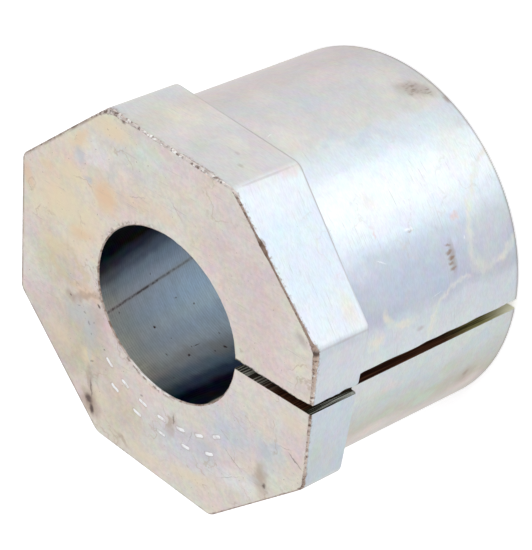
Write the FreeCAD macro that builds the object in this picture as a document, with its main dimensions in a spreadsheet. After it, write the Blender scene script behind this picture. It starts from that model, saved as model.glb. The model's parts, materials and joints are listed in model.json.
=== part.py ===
import FreeCAD, Part
import math
import os

import Sketcher
from FreeCAD import Vector

# Caster camber bushing, in millimetres.
#
# One piece of zinc plated steel, turned and milled from bar: a plain round barrel under an eight sided
# wedge head. The bore is square to the sloping face of the head, so it leans and runs off centre down
# the barrel. One saw slit opens the wall along its whole length, so that the barrel closes on the stud.
#
# The bushing stands on the free end of its barrel. Z is the barrel's axis, and X points out of the slit.

NODE = "camber_bushing"

# Every driving size is written once, here, and the features below are bound to its cell.
# Turns are degrees about the barrel's axis, counted from the slit. The bore's offsets lie in the face.
SIZES = {
    "barrel_diameter": 38.1,
    "barrel_length": 24.2,
    "barrel_end_chamfer": 0.2,
    "shoulder_step": 0.95,
    "shoulder_root_radius": 0.4,
    "shoulder_edge_chamfer": 0.15,
    "head_thin_side": 4.12,
    "head_flat_turn": -4.1,
    "head_corner_radius": 1.5,
    "face_tilt": 6.9,
    "face_thick_side_turn": 93.6,
    "face_edge_radius": 0.35,
    "bore_diameter": 18.83,
    "bore_towards_thick_side": 0.55,
    "bore_towards_slit": 0.72,
    "bore_rim_radius": 0.25,
    "slit_width": 1.05,
}
FLATS = 8
NEAR = 1e-4

# Sizes that follow from the cells: half the head across its flats and across its corners, and the
# head's thickness on the axis, which is the thin side's with the rise of the face from there
HALF_FLATS = "(Sizes.barrel_diameter / 2 + Sizes.shoulder_step)"
HALF_CORNERS = f"({HALF_FLATS} / cos(180 / {FLATS}))"
MIDDLE = f"(Sizes.head_thin_side + {HALF_FLATS} * tan(Sizes.face_tilt))"

document = FreeCAD.newDocument("CamberBushing")
sheet = document.addObject("Spreadsheet::Sheet", "Sizes")
for row, (alias, number) in enumerate(SIZES.items(), start=1):
    sheet.set(f"A{row}", alias)
    sheet.set(f"B{row}", str(number))
    sheet.setAlias(f"B{row}", alias)
document.recompute()

body = document.addObject("PartDesign::Body", "CamberBushing")
body.Label = NODE


def origin_plane(role):
    """The origin plane of the body that has this role."""
    return next(item for item in body.Origin.OriginFeatures if item.Role == role)


def new_plane(name, support, place):
    """A datum plane laid on its support, then moved and turned by an expression."""
    plane = body.newObject("PartDesign::Plane", name)
    plane.AttachmentSupport = (support, [""])
    plane.MapMode = "FlatFace"
    plane.setExpression("AttachmentOffset", place)
    document.recompute()
    return plane


def new_sketch(name, support):
    """An empty sketch on a plane of the body."""
    sketch = body.newObject("Sketcher::SketchObject", name)
    sketch.AttachmentSupport = (support, [""])
    sketch.MapMode = "FlatFace"
    return sketch


def dimension(sketch, name, constraint, expression):
    """Adds a dimension to a sketch and ties it to the sheet."""
    index = sketch.addConstraint(constraint)
    sketch.renameConstraint(index, name)
    sketch.setExpression(f"Constraints.{name}", expression)


def build(kind, name, sign, settings, expressions):
    """Adds a feature to the body. It has to add material where the sign is plus, and cut it at minus."""
    before = body.Tip.Shape.Volume if body.Tip else 0.0
    made = body.newObject(f"PartDesign::{kind}", name)
    for setting, value in settings.items():
        setattr(made, setting, value)
    for setting, expression in expressions.items():
        made.setExpression(setting, expression)
    document.recompute()
    change = made.Shape.Volume - before
    if sign * change < NEAR:
        raise RuntimeError(f"{name} changes the volume by {change:.4f}")


def edges_where(wanted):
    """The body as it stands, with the names of those of its edges that pass the test."""
    edges = enumerate(body.Tip.Shape.Edges, start=1)
    return body.Tip, [f"Edge{number}" for number, edge in edges if wanted(edge)]


def at_height(edge, height):
    """True for an edge that lies at one height."""
    return abs(edge.BoundBox.ZMin - height) < NEAR and abs(edge.BoundBox.ZMax - height) < NEAR


# The barrel, turned round about the axis
barrel_outline = new_sketch("BarrelOutline", origin_plane("XY_Plane"))
barrel_outline.addGeometry(Part.Circle(Vector(), Vector(0, 0, 1), sheet.barrel_diameter / 2))
barrel_outline.addConstraint(Sketcher.Constraint("Coincident", 0, 3, -1, 1))
dimension(
    barrel_outline,
    "Across",
    Sketcher.Constraint("Diameter", 0, sheet.barrel_diameter),
    "Sizes.barrel_diameter",
)
build("Pad", "Barrel", 1, {"Profile": barrel_outline}, {"Length": "Sizes.barrel_length"})

# The sloping face: a plane over the shoulder, turned towards the thick side and then tilted up to it
thick_side = new_plane(
    "ThickSide",
    origin_plane("XY_Plane"),
    f"placement(vector(0; 0; Sizes.barrel_length + {MIDDLE});"
    " rotation(vector(0; 0; 1); Sizes.face_thick_side_turn))",
)
sloping_face = new_plane(
    "SlopingFace",
    thick_side,
    "placement(vector(0; 0; 0); rotation(vector(0; 1; 0); -Sizes.face_tilt))",
)

# The head: eight equal sides on a circle through their corners, the first square to the sketch's X,
# raised from the shoulder as far as the sloping face
shoulder = new_plane(
    "Shoulder",
    origin_plane("XY_Plane"),
    "placement(vector(0; 0; Sizes.barrel_length); rotation(vector(0; 0; 1); Sizes.head_flat_turn))",
)
head_outline = new_sketch("HeadOutline", shoulder)
half_corners = (sheet.barrel_diameter / 2 + sheet.shoulder_step) / math.cos(math.pi / FLATS)
corners = []
for number in range(FLATS):
    turn = (2 * number - 1) * math.pi / FLATS
    corners.append(Vector(half_corners * math.cos(turn), half_corners * math.sin(turn), 0))
for number in range(FLATS):
    head_outline.addGeometry(Part.LineSegment(corners[number], corners[(number + 1) % FLATS]))
head_outline.addGeometry(Part.Circle(Vector(), Vector(0, 0, 1), half_corners), True)
head_outline.addConstraint(Sketcher.Constraint("Coincident", FLATS, 3, -1, 1))
for number in range(FLATS):
    head_outline.addConstraint(Sketcher.Constraint("Coincident", number, 2, (number + 1) % FLATS, 1))
    head_outline.addConstraint(Sketcher.Constraint("PointOnObject", number, 1, FLATS))
for number in range(1, FLATS):
    head_outline.addConstraint(Sketcher.Constraint("Equal", 0, number))
head_outline.addConstraint(Sketcher.Constraint("Vertical", 0))
dimension(head_outline, "HalfCorners", Sketcher.Constraint("Radius", FLATS, half_corners), HALF_CORNERS)
build(
    "Pad",
    "Head",
    1,
    {"Profile": head_outline, "Type": "UpToFace", "UpToFace": (sloping_face, [""])},
    {},
)


def is_head_corner(edge):
    """True for an upright edge that starts at the shoulder."""
    box = edge.BoundBox
    return max(box.XLength, box.YLength) < NEAR and abs(box.ZMin - sheet.barrel_length) < NEAR


# The corners of the head, rounded along its thickness
build(
    "Fillet",
    "HeadCorners",
    -1,
    {"Base": edges_where(is_head_corner)},
    {"Radius": "Sizes.head_corner_radius"},
)

# The root of the shoulder, where the turning tool's nose leaves its radius
build(
    "Fillet",
    "ShoulderRoot",
    1,
    {"Base": edges_where(lambda edge: at_height(edge, sheet.barrel_length) and edge.isClosed())},
    {"Radius": "min(Sizes.shoulder_root_radius; Sizes.shoulder_step / 2)"},
)

# The bore, drilled square to the sloping face and a little off the barrel's axis
bore_outline = new_sketch("BoreOutline", sloping_face)
bore_centre = Vector(sheet.bore_towards_thick_side, -sheet.bore_towards_slit, 0)
bore_outline.addGeometry(Part.Circle(bore_centre, Vector(0, 0, 1), sheet.bore_diameter / 2))
dimension(
    bore_outline,
    "Across",
    Sketcher.Constraint("Diameter", 0, sheet.bore_diameter),
    "Sizes.bore_diameter",
)
dimension(
    bore_outline,
    "TowardsThickSide",
    Sketcher.Constraint("DistanceX", -1, 1, 0, 3, bore_centre.x),
    "Sizes.bore_towards_thick_side",
)
dimension(
    bore_outline,
    "AwayFromSlit",
    Sketcher.Constraint("DistanceY", -1, 1, 0, 3, bore_centre.y),
    "-Sizes.bore_towards_slit",
)
build("Pocket", "Bore", -1, {"Profile": bore_outline, "Type": "ThroughAll"}, {})


def in_face(edge):
    """True for an edge that lies in the sloping face."""
    into_face = sloping_face.Placement.inverse()
    return all(abs(into_face.multVec(point).z) < NEAR for point in edge.discretize(3))


def is_barrel_rim(edge):
    """True for the outer circle of the barrel's free end."""
    return at_height(edge, 0) and edge.BoundBox.XLength > sheet.barrel_diameter - NEAR


# The worked edges: the head's round its sloping face and at the shoulder, the mouth of the bore, and
# the free end of the barrel. The slit is sawn last, so its own edges stay sharp.
build(
    "Fillet",
    "FaceEdge",
    -1,
    {"Base": edges_where(lambda edge: in_face(edge) and not edge.isClosed())},
    {"Radius": "Sizes.face_edge_radius"},
)
build(
    "Fillet",
    "BoreRim",
    -1,
    {"Base": edges_where(lambda edge: in_face(edge) and edge.isClosed())},
    {"Radius": "Sizes.bore_rim_radius"},
)
build(
    "Chamfer",
    "ShoulderEdge",
    -1,
    {"Base": edges_where(lambda edge: at_height(edge, sheet.barrel_length) and not edge.isClosed())},
    {"Size": "min(Sizes.shoulder_edge_chamfer; Sizes.shoulder_step / 4)"},
)
build(
    "Chamfer",
    "BarrelEnd",
    -1,
    {"Base": edges_where(is_barrel_rim)},
    {"Size": "Sizes.barrel_end_chamfer"},
)

# The slit: a slot from the axis out through one wall, over the whole height
slit_outline = new_sketch("SlitOutline", origin_plane("XY_Plane"))
half_slit = sheet.slit_width / 2
slit_reach = 2 * half_corners
slit_corners = [
    Vector(0, -half_slit, 0),
    Vector(slit_reach, -half_slit, 0),
    Vector(slit_reach, half_slit, 0),
    Vector(0, half_slit, 0),
]
for number, way in enumerate(("Horizontal", "Vertical", "Horizontal", "Vertical")):
    slit_outline.addGeometry(Part.LineSegment(slit_corners[number], slit_corners[number - 3]))
    slit_outline.addConstraint(Sketcher.Constraint(way, number))
for number in range(4):
    slit_outline.addConstraint(Sketcher.Constraint("Coincident", number, 2, (number + 1) % 4, 1))
slit_outline.addConstraint(Sketcher.Constraint("Symmetric", 0, 1, 3, 1, -1, 1))
dimension(
    slit_outline,
    "Width",
    Sketcher.Constraint("DistanceY", 1, 1, 1, 2, sheet.slit_width),
    "Sizes.slit_width",
)
dimension(
    slit_outline,
    "Reach",
    Sketcher.Constraint("DistanceX", 0, 1, 0, 2, slit_reach),
    f"2 * {HALF_CORNERS}",
)
build("Pocket", "Slit", -1, {"Profile": slit_outline, "Type": "ThroughAll", "Reversed": True}, {})

# Nothing is written unless every object of the document is sound
for item in document.Objects:
    if "Invalid" in item.State or "Error" in item.State:
        raise RuntimeError(f"{item.Name} is {item.State}")
shape = body.Shape
if shape.isNull() or not shape.isValid() or len(shape.Solids) != 1:
    raise RuntimeError(f"{NODE} is not one sound solid")

os.makedirs("parts", exist_ok=True)
shape.exportStep(f"parts/{NODE}.step")
box = shape.optimalBoundingBox()
print(f"{NODE}: {len(shape.Faces)} faces, {shape.Volume:.1f} mm3, {box}")
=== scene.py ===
import json
import math

import bpy
import numpy as np
from mathutils import Matrix, Vector


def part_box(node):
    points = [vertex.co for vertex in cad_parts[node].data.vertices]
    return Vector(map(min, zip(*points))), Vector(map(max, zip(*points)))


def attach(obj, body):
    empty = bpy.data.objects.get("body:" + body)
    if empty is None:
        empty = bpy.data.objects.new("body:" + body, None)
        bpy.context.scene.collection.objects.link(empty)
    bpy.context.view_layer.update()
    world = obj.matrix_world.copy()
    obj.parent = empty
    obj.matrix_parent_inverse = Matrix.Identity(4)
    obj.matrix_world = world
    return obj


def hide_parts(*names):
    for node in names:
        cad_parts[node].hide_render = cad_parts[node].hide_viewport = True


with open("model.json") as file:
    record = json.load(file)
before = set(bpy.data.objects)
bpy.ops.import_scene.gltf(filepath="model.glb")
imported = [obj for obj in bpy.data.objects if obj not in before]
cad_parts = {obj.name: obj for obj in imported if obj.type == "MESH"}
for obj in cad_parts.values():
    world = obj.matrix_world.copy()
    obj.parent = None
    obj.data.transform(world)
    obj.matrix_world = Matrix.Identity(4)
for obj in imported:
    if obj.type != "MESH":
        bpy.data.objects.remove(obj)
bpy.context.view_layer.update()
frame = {"record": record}

# The bushing's skin. It is one piece of steel: a turned barrel under an eight-sided head, faced at
# a slope, bored square to that face and sawn through on one side. The skin is woven ring by ring,
# from the bore's mouth over the face, down the head and the barrel, and up the bore again.
MM = 0.001
NODE = "camber_bushing"
SLIT_WIDTH = 1.05 * MM
CORNER_RADIUS = 1.5 * MM
MOUTH_RADIUS = 0.14 * MM
SHOULDER_CHAMFER = 0.15 * MM
ROOT_RADIUS = 0.4 * MM
END_CHAMFER = 0.2 * MM
END_RIM = 0.08 * MM
FULL_TURN = 2 * math.pi
EIGHTH = FULL_TURN / 8
FLAT_TURN = math.radians(-4.1)

mounts = {mount["name"]: mount for mount in frame["record"]["mounts"]}
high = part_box(NODE)[1]
barrel_radius = mounts["barrel_seat"]["dims"]["r_mm"] * MM
shoulder_height = mounts["shoulder_seat"]["pos_m"][2]
bore_radius = mounts["stud_bore"]["dims"]["r_mm"] * MM
bore_point = np.array(mounts["stud_bore"]["pos_m"])
face_normal = np.array(mounts["nut_face"]["axis"])
face_middle = face_normal @ mounts["nut_face"]["pos_m"] / face_normal[2]
face_rise = -face_normal[:2] / face_normal[2]
half_flats = (
    (high.x - CORNER_RADIUS) * math.cos(EIGHTH / 2) / math.cos(EIGHTH / 2 + FLAT_TURN) + CORNER_RADIUS
)

# Stations round the axis: evenly spaced on the flats, and closer where the head's corners are rounded
EVEN_STATIONS = 640
CORNER_STATIONS = 10
corner_span = EIGHTH / 2 - math.atan(math.tan(EIGHTH / 2) * (1 - CORNER_RADIUS / half_flats))
corners = FLAT_TURN + EIGHTH / 2 + EIGHTH * np.arange(8)
even = np.linspace(0, FULL_TURN, EVEN_STATIONS + 1)
from_corner = abs((even[:, None] - corners + math.pi) % FULL_TURN - math.pi).min(axis=1)
close = corners[:, None] + np.linspace(-corner_span, corner_span, CORNER_STATIONS)
stations = np.sort(np.concatenate([even[from_corner > corner_span * 1.1], close.ravel() % FULL_TURN]))


def head_reach(turn):
    """How far the eight flats and their rounded corners stand from the axis in that direction."""
    off_corner = (turn - FLAT_TURN) % EIGHTH - EIGHTH / 2
    flat = half_flats / np.cos(EIGHTH / 2 - abs(off_corner))
    centre = (half_flats - CORNER_RADIUS) / math.cos(EIGHTH / 2)
    depth = np.maximum(CORNER_RADIUS**2 - (centre * np.sin(off_corner)) ** 2, 0)
    rounded = centre * np.cos(off_corner) + np.sqrt(depth)
    return np.where(abs(off_corner) < corner_span, rounded, flat)


def bore_reach(turn, radius, level):
    """How far the leaning bore stands from the axis on a level, given as a height and its rise."""
    height, rise = level
    way = np.stack([np.cos(turn), np.sin(turn), rise[0] * np.cos(turn) + rise[1] * np.sin(turn)], axis=-1)
    start = np.array([0, 0, height]) - bore_point
    way = way - np.outer(way @ face_normal, face_normal)
    start = start - (start @ face_normal) * face_normal
    square = (way * way).sum(axis=1)
    half = way @ start
    return (np.sqrt(half**2 - square * (start @ start - radius**2)) - half) / square


# Where the face's edge is worn back no further than SOUND_RADIUS it has no chips, and CHIPPED_RADIUS
# further on they are deepest. EDGE_WEAR is (degrees round from the slit, millimetres worn back).
SOUND_RADIUS = 0.14 * MM
CHIPPED_RADIUS = 0.3 * MM
EDGE_WEAR = (
    (0, 0.24), (13, 0.32), (18.4, 0.5), (21.5, 0.18), (44, 0.12), (48, 0.34), (52, 0.12), (61, 0.2),
    (66, 0.24), (99, 0.24), (104, 0.34), (108.4, 0.52), (112, 0.3), (116, 0.14), (330, 0.14), (335, 0.26),
    (340, 0.17), (359, 0.2),
)


def edge_radius(turn):
    """The face's edge is worn back further beside the slit and at some corners."""
    degrees, radii = zip(*EDGE_WEAR)
    return np.interp(np.degrees(turn), degrees, radii, period=360) * MM


def chipping(turn):
    """How much of the deepest chips the edge has, which is nothing where it is hardly worn."""
    return np.clip((edge_radius(turn) - SOUND_RADIUS) / CHIPPED_RADIUS, 0, 1)


# Stations within NEAR_SLIT of the slit make room for it, and a few rounds settle how much
NEAR_SLIT = math.radians(14)
SETTLING_ROUNDS = 4
rings = []
zones = []
wear = []


def weave(zone, reach, height, edge=lambda turn: 0 * turn):
    """Adds one ring, open at the slit. Its gap to the ring before is in that zone of the skin."""
    past, ahead = stations / NEAR_SLIT, (FULL_TURN - stations) / NEAR_SLIT
    opening = np.clip(1 - past, 0, 1) - np.clip(1 - ahead, 0, 1)
    turn = stations
    for _ in range(SETTLING_ROUNDS):
        ends = np.arcsin(SLIT_WIDTH / 2 / reach(turn)[[0, -1]])
        turn = stations + np.where(opening > 0, ends[0], ends[1]) * opening
    out = reach(turn)
    x, y = out * np.cos(turn), out * np.sin(turn)
    rings.append(np.stack([x, y, height(x, y, turn)], axis=1))
    zones.append(zone)
    wear.append(edge(turn))


def on_face(x, y, below=0.0):
    """The height of the sloping face over a place, or of a level below it."""
    return face_middle + face_rise[0] * x + face_rise[1] * y - below


def shares(start, end, count):
    """Shares of the way from start to end, without start itself."""
    return start + (end - start) * np.arange(1, count + 1) / count


BORE, FACE, SIDE, EDGE, MOUTH, SAWN = range(6)

# The mouth of the bore, rounded from its wall out to the face
MOUTH_RINGS = 5
MOUTH_WEAR = 0.4
for bend in np.linspace(0, math.pi / 2, MOUTH_RINGS):
    radius = bore_radius + MOUTH_RADIUS * (1 - math.cos(bend))
    below = MOUTH_RADIUS * (1 - math.sin(bend)) / face_normal[2]
    weave(
        MOUTH,
        lambda turn: bore_reach(turn, radius, (face_middle - below, face_rise)),
        lambda x, y, turn: on_face(x, y, below),
        edge=lambda turn: MOUTH_WEAR * math.sin(2 * bend) + 0 * turn,
    )

# The sloping face, from the mouth to the head's edge, which has chips in its last WORN_SHARE too
FACE_RINGS = 60
WORN_SHARE = 0.02
mouth_level = (face_middle, face_rise)
for share in shares(0, 1, FACE_RINGS):
    weave(
        FACE,
        lambda turn: (1 - share) * bore_reach(turn, bore_radius + MOUTH_RADIUS, mouth_level)
        + share * (head_reach(turn) - edge_radius(turn)),
        lambda x, y, turn: on_face(x, y),
        edge=lambda turn: max(0.0, (share - 1 + WORN_SHARE) / WORN_SHARE / 2) * chipping(turn),
    )

# The worn edge between the face and the flats, and the flats down to the shoulder
EDGE_RINGS = 6
FLAT_RINGS = 14
CHAMFER_RINGS = 2
for bend in shares(0, math.pi / 2, EDGE_RINGS):
    weave(
        EDGE,
        lambda turn: head_reach(turn) - edge_radius(turn) * (1 - math.sin(bend)),
        lambda x, y, turn: on_face(x, y, edge_radius(turn) * (1 - math.cos(bend))),
        edge=chipping,
    )
flats_end = shoulder_height + SHOULDER_CHAMFER
for share in shares(0, 1, FLAT_RINGS):
    weave(
        SIDE,
        head_reach,
        lambda x, y, turn: (1 - share) * on_face(x, y, edge_radius(turn)) + share * flats_end,
    )
for share in shares(0, 1, CHAMFER_RINGS):
    weave(
        SIDE,
        lambda turn: head_reach(turn) - share * SHOULDER_CHAMFER,
        lambda x, y, turn: flats_end - share * SHOULDER_CHAMFER + 0 * x,
    )

# The shoulder, the rounded root and the barrel down to its free end
SHOULDER_RINGS = 2
ROOT_RINGS = 4
BARREL_RINGS = 16


def turn_outside(radius, height):
    """Adds one ring of the turned outside, round and level."""
    weave(SIDE, lambda turn: radius + 0 * turn, lambda x, y, turn: height + 0 * x)


for share in shares(0, 1, SHOULDER_RINGS):
    weave(
        SIDE,
        lambda turn: (1 - share) * (head_reach(turn) - SHOULDER_CHAMFER)
        + share * (barrel_radius + ROOT_RADIUS),
        lambda x, y, turn: shoulder_height + 0 * x,
    )
for bend in shares(0, math.pi / 2, ROOT_RINGS):
    inward, downward = ROOT_RADIUS * (1 - math.sin(bend)), ROOT_RADIUS * (1 - math.cos(bend))
    turn_outside(barrel_radius + inward, shoulder_height - downward)
for share in shares(0, 1, BARREL_RINGS):
    turn_outside(barrel_radius, (1 - share) * (shoulder_height - ROOT_RADIUS) + share * END_CHAMFER)
for share in shares(0, 1, CHAMFER_RINGS):
    turn_outside(barrel_radius - share * END_CHAMFER, (1 - share) * END_CHAMFER)

# The free end, and the bore's wall from there up to its mouth
END_RINGS = 5
BORE_RINGS = 16
for share in shares(0, 1, END_RINGS):
    weave(
        SIDE,
        lambda turn: (1 - share) * (barrel_radius - END_CHAMFER)
        + share * bore_reach(turn, bore_radius + END_RIM, (0, (0, 0))),
        lambda x, y, turn: 0 * x,
    )
wall_top = face_middle - MOUTH_RADIUS / face_normal[2]
for share in np.arange(BORE_RINGS) / BORE_RINGS:
    level = (END_RIM + share * (wall_top - END_RIM), share * face_rise)
    weave(
        BORE,
        lambda turn: bore_reach(turn, bore_radius, level),
        lambda x, y, turn: level[0] + level[1][0] * x + level[1][1] * y,
    )

# The rings are joined into one closed skin, and each side of the slit is one flat sawn wall. The skin
# has a map in millimetres for its stains: straight from above on the face, and unrolled on the rest.
across = len(stations)
along = len(rings)
faces = []
face_zones = []
for ring in range(along):
    onward = (ring + 1) % along
    for place in range(across - 1):
        here, there = ring * across + place, onward * across + place
        faces.append((here, there, there + 1, here + 1))
        face_zones.append(zones[onward] if onward else BORE)
faces.append([ring * across for ring in reversed(range(along))])
faces.append([ring * across + across - 1 for ring in range(along)])
face_zones += [SAWN, SAWN]
points = np.concatenate(rings)
skin = bpy.data.meshes.new("bushing_skin")
skin.from_pydata(points.tolist(), [], faces)

turn = np.tile(stations, along)
bore_side = np.cross((0, 1, 0), face_normal)
bore_side /= np.linalg.norm(bore_side)
off_bore = points - bore_point
bore_turn = np.arctan2(off_bore @ np.cross(face_normal, bore_side), off_bore @ bore_side) % FULL_TURN
bore_turn += FULL_TURN * np.round((turn - bore_turn) / FULL_TURN)
bore_depth = (face_normal @ (0, 0, face_middle)) - points @ face_normal
bore_map = np.stack([bore_turn * bore_radius, bore_depth], axis=1)
maps = {
    BORE: bore_map,
    FACE: points[:, :2],
    SIDE: np.stack([turn * barrel_radius, points[:, 2]], axis=1),
    EDGE: np.stack([turn * half_flats, points[:, 2]], axis=1),
    MOUTH: bore_map,
    SAWN: points[:, [0, 2]],
}
corner_points = np.zeros(len(skin.loops), int)
skin.loops.foreach_get("vertex_index", corner_points)
corner_zones = np.repeat(face_zones, [len(face) for face in faces])
layout = np.zeros((len(skin.loops), 2))
for zone, places in maps.items():
    layout[corner_zones == zone] = places[corner_points[corner_zones == zone]] / MM
skin.uv_layers.new(name="skin_map").uv.foreach_set("vector", layout.ravel())

# Marks on the skin say where wear and dirt go. Dirt beside the edge gets less by DIRT_FALL each ring.
DIRT_FALL = 0.45
edge_rings = [ring for ring in range(along) if EDGE in (zones[ring], zones[(ring + 1) % along])]
from_edge = np.maximum(min(edge_rings) - np.arange(along), np.arange(along) - max(edge_rings))
beside_edge = np.clip(1 - DIRT_FALL * from_edge, 0, 1)
sawn_edge = np.zeros((along, across))
sawn_edge[:, [0, -1]] = 1
skin.attributes.new("zone", "INT", "FACE").data.foreach_set("value", face_zones)
marks = {
    "edge_wear": np.concatenate(wear),
    "sawn_edge": sawn_edge.ravel(),
    "beside_edge": np.repeat(beside_edge, across),
}
for name, strengths in marks.items():
    skin.attributes.new(name, "FLOAT", "POINT").data.foreach_set("value", strengths)
bushing = bpy.data.objects.new("bushing", skin)
bpy.context.collection.objects.link(bushing)


# The plating all over. Zinc with a thin clear passivate has pale rainbow clouds, with blots and tide
# marks where it drained and dried. These tools lay such stains on the skin's map, in millimetres.
def add(kind, feeds=None, tree=None, **settings):
    """A new node. Each feed is a value or another node's output, for the input of that name.

    The node goes into the given tree, or else into the tree of the outputs that feed it.
    """
    feeds = feeds or {}
    linked = [name for name, value in feeds.items() if isinstance(value, bpy.types.NodeSocket)]
    tree = tree or feeds[linked[0]].id_data
    made = tree.nodes.new(kind)
    for name, value in settings.items():
        setattr(made, name, value)
    for name, value in feeds.items():
        if name in linked:
            tree.links.new(value, made.inputs[name])
        else:
            made.inputs[name].default_value = value
    return made


def paint(red, green, blue):
    """A colour given by its levels from 0 to 255, as linear light."""
    levels = np.array([red, green, blue]) / 255
    light = np.where(levels <= 0.04045, levels / 12.92, ((levels + 0.055) / 1.055) ** 2.4)
    return (*light.tolist(), 1.0)


def figure(operation, *numbers):
    """The answer of one Math node."""
    return add("ShaderNodeMath", dict(enumerate(numbers)), operation=operation).outputs[0]


def times(first, second):
    """Two numbers multiplied."""
    return figure("MULTIPLY", first, second)


def gap(number, level):
    """How far a number is from a level, either way."""
    return figure("ABSOLUTE", figure("SUBTRACT", number, level))


def apart(place):
    """How far a place is round the skin, and how far up it."""
    split = add("ShaderNodeSeparateXYZ", {0: place})
    return split.outputs["X"], split.outputs["Y"]


def ramp(number, low, high, to_low=0.0, to_high=1.0):
    """A number eased from one range into another, and kept inside it."""
    feeds = {"Value": number, "From Min": low, "From Max": high, "To Min": to_low, "To Max": to_high}
    return add("ShaderNodeMapRange", feeds, interpolation_type="SMOOTHSTEP").outputs["Result"]


def mix(share, first, second, kind="MIX"):
    """Two colours mixed by a share."""
    feeds = {0: share, 6: first, 7: second}
    return add("ShaderNodeMix", feeds, data_type="RGBA", blend_type=kind).outputs[2]


def stain(colour, share, levels):
    """A colour with a stain of those levels over it."""
    return mix(share, colour, paint(*levels))


def cloud(place, size, seed, detail=4.0, twist=0.0, stretch=(1, 1), turn=0.0, output="Fac"):
    """Noise whose clouds are about that many millimetres across."""
    feeds = {
        "Vector": place,
        "Location": (seed * 17.3, seed * 7.9, seed * 3.1),
        "Rotation": (0, 0, math.radians(turn)),
        "Scale": (1 / (size * stretch[0]), 1 / (size * stretch[1]), 1 / size),
    }
    laid = add("ShaderNodeMapping", feeds).outputs[0]
    feeds = {"Vector": laid, "Scale": 1.0, "Detail": detail, "Distortion": twist}
    return add("ShaderNodeTexNoise", feeds).outputs[output]


def swayed(place, ragged, scale):
    """A place on the map, shifted by noise so that an outline drawn with it is ragged."""
    feeds = {"Vector": place, "Scale": scale, "Detail": 4.0}
    noise = add("ShaderNodeTexNoise", feeds).outputs["Color"]
    feeds = {0: noise, 1: (ragged * 2, ragged * 2, 0), 2: (-ragged, -ragged, 0)}
    sway = add("ShaderNodeVectorMath", feeds, operation="MULTIPLY_ADD").outputs[0]
    return add("ShaderNodeVectorMath", {0: place, 1: sway}, operation="ADD").outputs[0]


def dot(place, way):
    """How far a place lies along a way."""
    return add("ShaderNodeVectorMath", {0: place, 1: way}, operation="DOT_PRODUCT").outputs["Value"]


def off_oval(place, u, v, wide, high, turn):
    """How far a place is from the middle of an oval, as a share of the way to its outline."""
    cosine, sine = math.cos(math.radians(turn)), math.sin(math.radians(turn))
    along, across = (cosine / wide, sine / wide, 0), (-sine / high, cosine / high, 0)
    feeds = {0: dot(place, along), 1: dot(place, across)}
    local = add("ShaderNodeCombineXYZ", feeds).outputs[0]
    middle = (u * along[0] + v * along[1], u * across[0] + v * across[1], 0)
    return add("ShaderNodeVectorMath", {0: local, 1: middle}, operation="DISTANCE").outputs["Value"]


def blots(place, spots, soft=1.25):
    """How far each place lies in some spots, each (u, v, half width, half height, degrees, depth)."""
    total = None
    for u, v, wide, high, turn, depth in spots:
        spot = ramp(off_oval(place, u, v, wide, high, turn), 0.3, soft, depth, 0.0)
        total = spot if total is None else figure("MAXIMUM", total, spot)
    return total


def blotted(colour, place, spots, levels, soft=1.25):
    """A colour with a stain of those levels in some spots."""
    return stain(colour, blots(place, spots, soft), levels)


def tide_line(place, broken, oval, width, depth):
    """A thin dried line along an oval (u, v, half width, half height, degrees), fainter where broken."""
    off_line = gap(off_oval(place, *oval), 1.0)
    return times(ramp(off_line, 0.0, width / min(oval[2], oval[3]), depth, 0.0), broken)


def veins(place, size, seed, width, depth):
    """Thin wandering lines, where the passivate dried: the level lines of a noise, broken by another."""
    line = ramp(gap(cloud(place, size, seed, detail=6.0), 0.5), 0.0, width, depth, 0.0)
    return times(line, ramp(cloud(place, size * 0.9, seed + 1), 0.48, 0.62))


def banded(along, radius, wander, tints):
    """Colours laid round the skin by degrees, each (degrees, red, green, blue)."""
    share_round = figure("DIVIDE", along, FULL_TURN * radius / MM)
    bands = add("ShaderNodeValToRGB", {"Fac": figure("ADD", share_round, wander)})
    bands.color_ramp.interpolation = "EASE"
    while len(bands.color_ramp.elements) < len(tints):
        bands.color_ramp.elements.new(0.5)
    for element, tint in zip(bands.color_ramp.elements, tints):
        element.position = tint[0] / 360
    for element, tint in zip(bands.color_ramp.elements, tints):
        element.color = paint(*tint[1:])
    return bands.outputs["Color"]


def in_steel(tree):
    """The place in the steel itself, in millimetres."""
    place = add("ShaderNodeTexCoord", tree=tree).outputs["Object"]
    return add("ShaderNodeVectorMath", {0: place, 3: 1 / MM}, operation="SCALE").outputs[0]


def mottled(place, colour, size, seed, strength):
    """A colour whose red, green and blue each waver a little, in soft spots of that size."""
    noise = cloud(place, size, seed, detail=3.0, output="Color")
    return mix(strength, colour, noise, "LINEAR_LIGHT")


def grained(place, colour, size, seed, strength, turn=0.0):
    """A colour that is lighter and darker in fine strokes of that size."""
    noise = cloud(place, size, seed, stretch=(3, 1), turn=turn)
    noise = ramp(noise, 0.3, 0.7, 0.0, strength)
    return mix(noise, colour, paint(188, 188, 188), "MULTIPLY")


def edge_dirt(place, colour, seed):
    """A colour with the edge's brown dirt spread raggedly onto it."""
    nearness = add("ShaderNodeAttribute", tree=place.id_data, attribute_name="beside_edge").outputs["Fac"]
    reached = ramp(figure("ADD", nearness, cloud(place, 0.24, seed)), 1.26, 1.6)
    patchy = ramp(cloud(place, 1.5, seed + 1), 0.4, 0.58, 0.1, 0.8)
    return stain(colour, times(reached, patchy), (140, 116, 102))


def new_finish(name, metallic, roughness):
    """A material, its shader and the place on the skin's map."""
    material = bpy.data.materials.new(name)
    material.use_nodes = True
    tree = material.node_tree
    shader = tree.nodes["Principled BSDF"]
    shader.inputs["Metallic"].default_value = metallic
    shader.inputs["Roughness"].default_value = roughness
    place = add("ShaderNodeUVMap", tree=tree, uv_map="skin_map").outputs["UV"]
    return material, shader, place


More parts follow.
